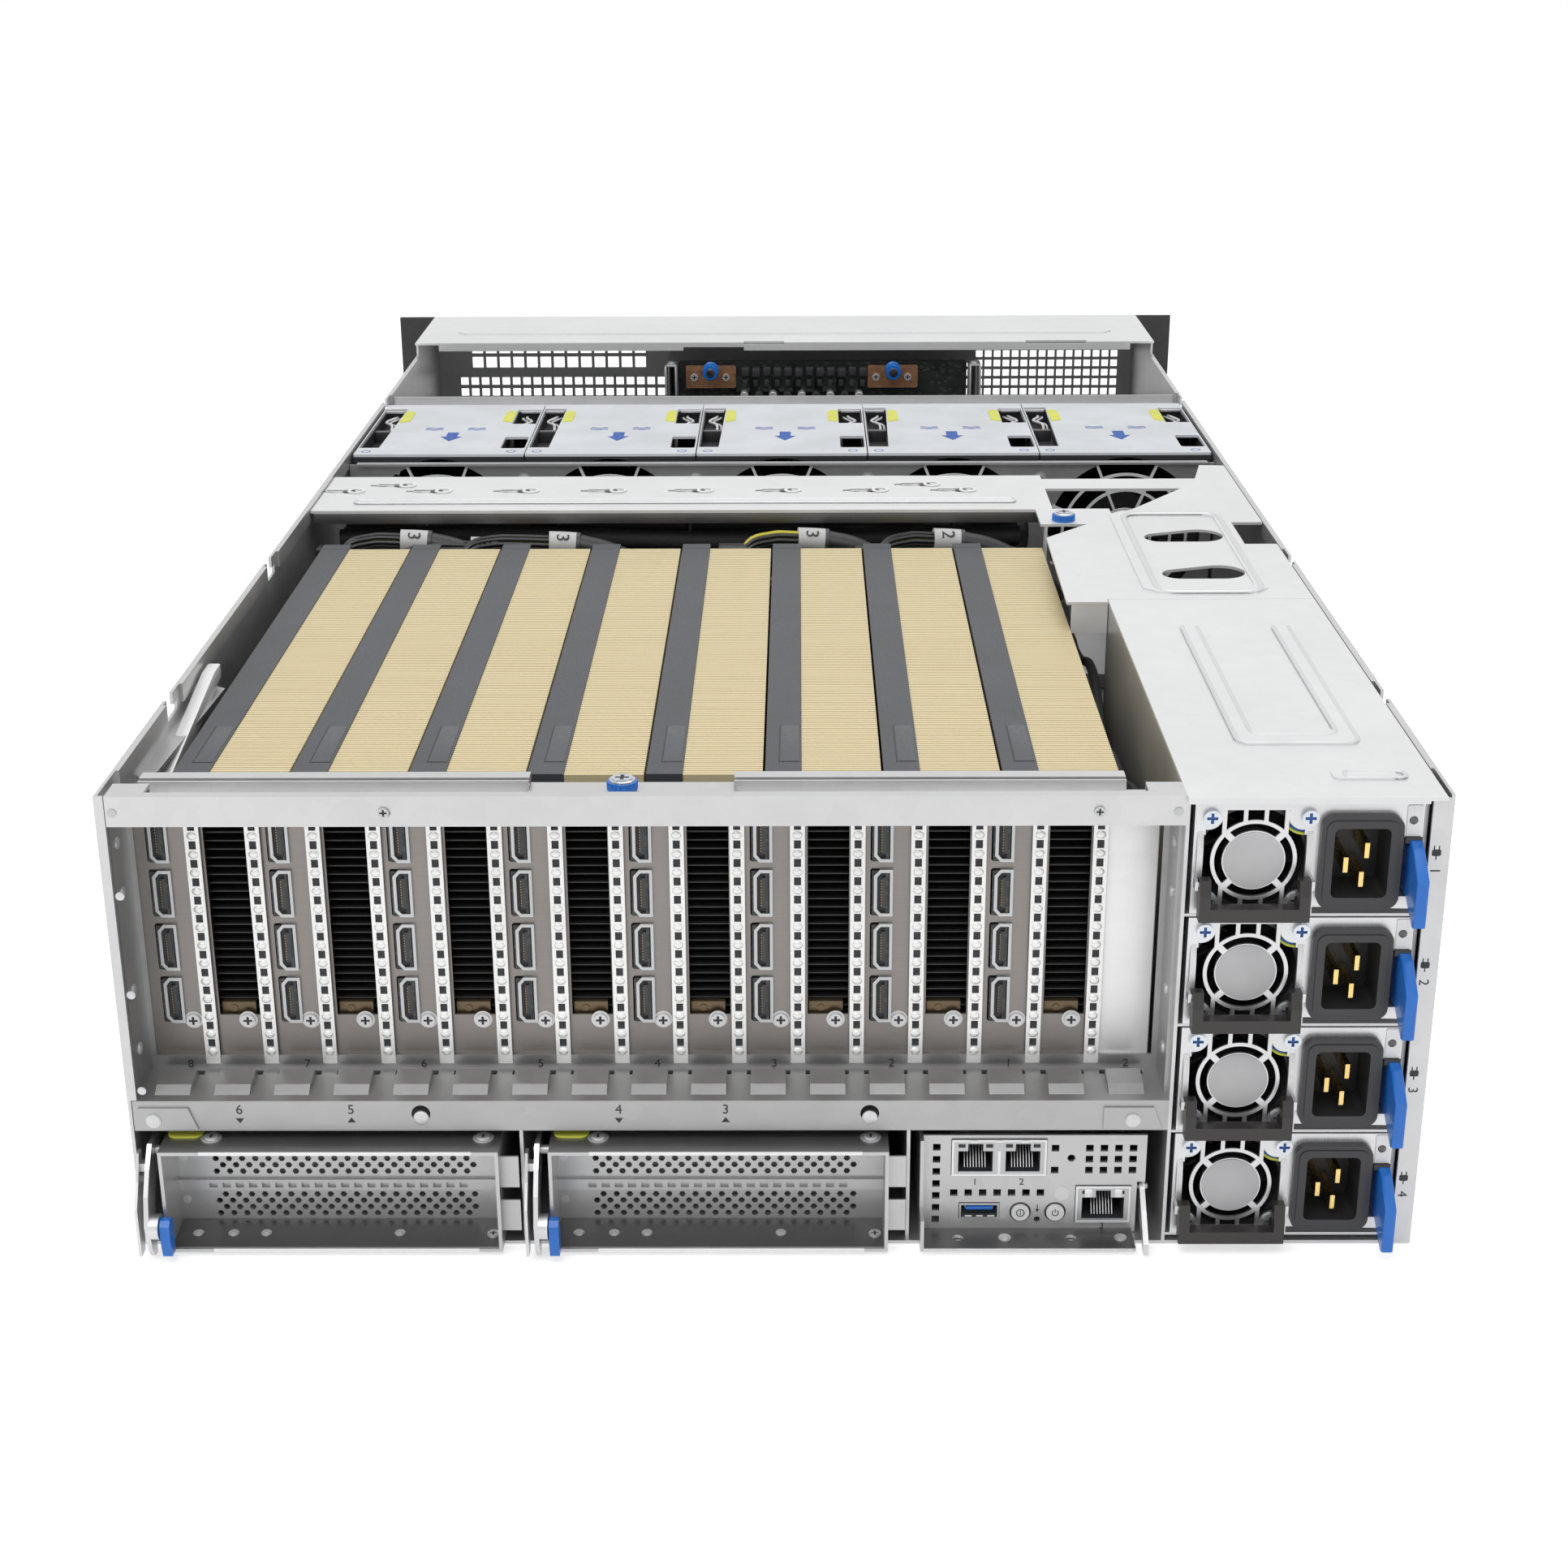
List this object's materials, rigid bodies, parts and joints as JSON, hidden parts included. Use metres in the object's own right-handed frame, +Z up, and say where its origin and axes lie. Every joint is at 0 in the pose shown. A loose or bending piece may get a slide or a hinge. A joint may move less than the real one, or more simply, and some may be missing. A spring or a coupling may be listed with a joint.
{
  "type": "rack server",
  "caption": "Open-top sheet-metal rack server with upright accelerator cards, lift-out fan modules, slide-out power supplies and rear trays.",
  "frame": {"origin": "on the underside of the chassis tray, midway between its side walls and midway between the rear edge and the front face", "axes": "+X to the right seen from the rear, +Y from the rear edge to the front face, +Z up"},
  "size_m": [0.4826, 0.816, 0.1758],
  "materials": {
    "galvanised": "bright galvanised sheet with a fine spangle",
    "white_sheet": "pale satin sheet",
    "bracket_steel": "warm grey nickel-plated bracket",
    "emi_white": "bright tinned spring strip",
    "shroud": "dark grey moulded shroud",
    "fins": "champagne-gold stamped fins",
    "board_dark": "black solder mask",
    "board_green": "green solder mask",
    "blue_plastic": "blue touch-point plastic",
    "psu_steel": "brushed plated case",
    "black_plastic": "black moulded plastic",
    "brown_plastic": "dark brown-grey handle",
    "ear_black": "black powder coat",
    "cable_black": "black braided sleeve",
    "module_grey": "pale grey moulded fan housing",
    "wire_white": "white coated wire",
    "io_steel": "satin plated panel",
    "port_metal": "plated connector shells",
    "button_grey": "translucent grey button"
  },
  "bodies": {
    "root": {"chassis_tray": "galvanised", "rear_beam": "galvanised", "slot_frame": "galvanised", "emi_strips": "emi_white", "retention_bar": "galvanised", "captive_screws": "blue_plastic", "slot_brackets": "bracket_steel", "card_shrouds": "shroud", "card_fins": "fins", "card_boards": "board_dark", "switch_board": "board_green", "psu_cage": "galvanised", "psu_cage_cover": "white_sheet", "cable_cover": "white_sheet", "cross_brace": "white_sheet", "power_leads": "cable_black", "main_board": "board_green", "fan_cage": "galvanised", "fan_guards": "wire_white", "front_cover": "white_sheet", "rack_ears": "ear_black", "front_panel": "galvanised", "drive_backplane": "board_dark"},
    "fan_module_1": {"fan_module_1": "module_grey"},
    "fan_rotor_1": {"fan_rotor_1": "black_plastic"},
    "fan_module_2": {"fan_module_2": "module_grey"},
    "fan_rotor_2": {"fan_rotor_2": "black_plastic"},
    "fan_module_3": {"fan_module_3": "module_grey"},
    "fan_rotor_3": {"fan_rotor_3": "black_plastic"},
    "fan_module_4": {"fan_module_4": "module_grey"},
    "fan_rotor_4": {"fan_rotor_4": "black_plastic"},
    "fan_module_5": {"fan_module_5": "module_grey"},
    "fan_rotor_5": {"fan_rotor_5": "black_plastic"},
    "psu_1_rotor": {"psu_1_rotor": "black_plastic"},
    "psu_1_handle": {"psu_1_handle": "brown_plastic"},
    "psu_1_lever": {"psu_1_lever": "blue_plastic"},
    "psu_1": {"psu_1_case": "psu_steel"},
    "psu_2_rotor": {"psu_2_rotor": "black_plastic"},
    "psu_2_handle": {"psu_2_handle": "brown_plastic"},
    "psu_2_lever": {"psu_2_lever": "blue_plastic"},
    "psu_2": {"psu_2_case": "psu_steel"},
    "psu_3_rotor": {"psu_3_rotor": "black_plastic"},
    "psu_3_handle": {"psu_3_handle": "brown_plastic"},
    "psu_3_lever": {"psu_3_lever": "blue_plastic"},
    "psu_3": {"psu_3_case": "psu_steel"},
    "psu_4_rotor": {"psu_4_rotor": "black_plastic"},
    "psu_4_handle": {"psu_4_handle": "brown_plastic"},
    "psu_4_lever": {"psu_4_lever": "blue_plastic"},
    "psu_4": {"psu_4_case": "psu_steel"},
    "riser_1": {"riser_1_tray": "io_steel"},
    "riser_1_lever": {"riser_1_lever": "io_steel"},
    "riser_1_latch": {"riser_1_latch": "blue_plastic"},
    "riser_2": {"riser_2_tray": "io_steel"},
    "riser_2_lever": {"riser_2_lever": "io_steel"},
    "riser_2_latch": {"riser_2_latch": "blue_plastic"},
    "io": {"io_tray": "io_steel", "io_ports": "port_metal"},
    "io_bail": {"io_bail": "io_steel"},
    "power_button": {"power_button": "button_grey"},
    "id_button": {"id_button": "button_grey"}
  },
  "joints": [
    {"name": "fan_1_lift", "type": "slide", "parent": "root", "child": "fan_module_1", "axis": [0, 0, 1], "range_m": [0, 0.1]},
    {"name": "fan_1_spin", "type": "hinge", "parent": "fan_module_1", "child": "fan_rotor_1", "pos_m": [-0.173, 0.1285, 0.125], "axis": [0, 1, 0], "continuous": true},
    {"name": "fan_2_lift", "type": "slide", "parent": "root", "child": "fan_module_2", "axis": [0, 0, 1], "range_m": [0, 0.1]},
    {"name": "fan_2_spin", "type": "hinge", "parent": "fan_module_2", "child": "fan_rotor_2", "pos_m": [-0.0865, 0.1285, 0.125], "axis": [0, 1, 0], "continuous": true},
    {"name": "fan_3_lift", "type": "slide", "parent": "root", "child": "fan_module_3", "axis": [0, 0, 1], "range_m": [0, 0.1]},
    {"name": "fan_3_spin", "type": "hinge", "parent": "fan_module_3", "child": "fan_rotor_3", "pos_m": [0, 0.1285, 0.125], "axis": [0, 1, 0], "continuous": true},
    {"name": "fan_4_lift", "type": "slide", "parent": "root", "child": "fan_module_4", "axis": [0, 0, 1], "range_m": [0, 0.1]},
    {"name": "fan_4_spin", "type": "hinge", "parent": "fan_module_4", "child": "fan_rotor_4", "pos_m": [0.0865, 0.1285, 0.125], "axis": [0, 1, 0], "continuous": true},
    {"name": "fan_5_lift", "type": "slide", "parent": "root", "child": "fan_module_5", "axis": [0, 0, 1], "range_m": [0, 0.1]},
    {"name": "fan_5_spin", "type": "hinge", "parent": "fan_module_5", "child": "fan_rotor_5", "pos_m": [0.173, 0.1285, 0.125], "axis": [0, 1, 0], "continuous": true},
    {"name": "psu_1_slide", "type": "slide", "parent": "root", "child": "psu_1", "axis": [0, -1, 0], "range_m": [0, 0.18]},
    {"name": "psu_1_fan_spin", "type": "hinge", "parent": "psu_1", "child": "psu_1_rotor", "pos_m": [0.15615, -0.382, 0.14425], "axis": [0, 1, 0], "continuous": true},
    {"name": "psu_1_handle_hinge", "type": "hinge", "parent": "psu_1", "child": "psu_1_handle", "pos_m": [0.15615, -0.404, 0.1373], "axis": [-1, 0, 0], "range_deg": [0, 90]},
    {"name": "psu_1_lever_press", "type": "hinge", "parent": "psu_1", "child": "psu_1_lever", "pos_m": [0.20805, -0.391, 0.1418], "axis": [0, 0, -1], "range_deg": [0, 6], "stiffness_Nm_per_rad": 0.05, "springref_deg": -1.15},
    {"name": "psu_2_slide", "type": "slide", "parent": "root", "child": "psu_2", "axis": [0, -1, 0], "range_m": [0, 0.18]},
    {"name": "psu_2_fan_spin", "type": "hinge", "parent": "psu_2", "child": "psu_2_rotor", "pos_m": [0.15615, -0.382, 0.10395], "axis": [0, 1, 0], "continuous": true},
    {"name": "psu_2_handle_hinge", "type": "hinge", "parent": "psu_2", "child": "psu_2_handle", "pos_m": [0.15615, -0.404, 0.097], "axis": [-1, 0, 0], "range_deg": [0, 90]},
    {"name": "psu_2_lever_press", "type": "hinge", "parent": "psu_2", "child": "psu_2_lever", "pos_m": [0.20805, -0.391, 0.1015], "axis": [0, 0, -1], "range_deg": [0, 6], "stiffness_Nm_per_rad": 0.05, "springref_deg": -1.15},
    {"name": "psu_3_slide", "type": "slide", "parent": "root", "child": "psu_3", "axis": [0, -1, 0], "range_m": [0, 0.18]},
    {"name": "psu_3_fan_spin", "type": "hinge", "parent": "psu_3", "child": "psu_3_rotor", "pos_m": [0.15615, -0.382, 0.06365], "axis": [0, 1, 0], "continuous": true},
    {"name": "psu_3_handle_hinge", "type": "hinge", "parent": "psu_3", "child": "psu_3_handle", "pos_m": [0.15615, -0.404, 0.0567], "axis": [-1, 0, 0], "range_deg": [0, 90]},
    {"name": "psu_3_lever_press", "type": "hinge", "parent": "psu_3", "child": "psu_3_lever", "pos_m": [0.20805, -0.391, 0.0612], "axis": [0, 0, -1], "range_deg": [0, 6], "stiffness_Nm_per_rad": 0.05, "springref_deg": -1.15},
    {"name": "psu_4_slide", "type": "slide", "parent": "root", "child": "psu_4", "axis": [0, -1, 0], "range_m": [0, 0.18]},
    {"name": "psu_4_fan_spin", "type": "hinge", "parent": "psu_4", "child": "psu_4_rotor", "pos_m": [0.15615, -0.382, 0.02335], "axis": [0, 1, 0], "continuous": true},
    {"name": "psu_4_handle_hinge", "type": "hinge", "parent": "psu_4", "child": "psu_4_handle", "pos_m": [0.15615, -0.404, 0.0164], "axis": [-1, 0, 0], "range_deg": [0, 90]},
    {"name": "psu_4_lever_press", "type": "hinge", "parent": "psu_4", "child": "psu_4_lever", "pos_m": [0.20805, -0.391, 0.0209], "axis": [0, 0, -1], "range_deg": [0, 6], "stiffness_Nm_per_rad": 0.05, "springref_deg": -1.15},
    {"name": "riser_1_slide", "type": "slide", "parent": "root", "child": "riser_1", "axis": [0, -1, 0], "range_m": [0, 0.12]},
    {"name": "riser_1_lever_hinge", "type": "hinge", "parent": "riser_1", "child": "riser_1_lever", "pos_m": [-0.21355, -0.397, 0.0356], "axis": [-1, 0, 0], "range_deg": [0, 60]},
    {"name": "riser_1_latch_turn", "type": "hinge", "parent": "riser_1_lever", "child": "riser_1_latch", "pos_m": [-0.21105, -0.4116, 0.014], "axis": [-1, 0, 0], "range_deg": [0, 90]},
    {"name": "riser_2_slide", "type": "slide", "parent": "root", "child": "riser_2", "axis": [0, -1, 0], "range_m": [0, 0.12]},
    {"name": "riser_2_lever_hinge", "type": "hinge", "parent": "riser_2", "child": "riser_2_lever", "pos_m": [-0.08115, -0.397, 0.0356], "axis": [-1, 0, 0], "range_deg": [0, 60]},
    {"name": "riser_2_latch_turn", "type": "hinge", "parent": "riser_2_lever", "child": "riser_2_latch", "pos_m": [-0.07865, -0.4116, 0.014], "axis": [-1, 0, 0], "range_deg": [0, 90]},
    {"name": "io_slide", "type": "slide", "parent": "root", "child": "io", "axis": [0, -1, 0], "range_m": [0, 0.06]},
    {"name": "io_bail_hinge", "type": "hinge", "parent": "io", "child": "io_bail", "pos_m": [0.12705, -0.39, 0.017], "axis": [-1, 0, 0], "range_deg": [0, 45]},
    {"name": "power_press", "type": "slide", "parent": "io", "child": "power_button", "axis": [0, 1, 0], "range_m": [0, 0.0008], "stiffness_N_per_m": 300, "springref_m": -0.0005},
    {"name": "id_press", "type": "slide", "parent": "io", "child": "id_button", "axis": [0, 1, 0], "range_m": [0, 0.0008], "stiffness_N_per_m": 300, "springref_m": -0.0005}
  ]
}
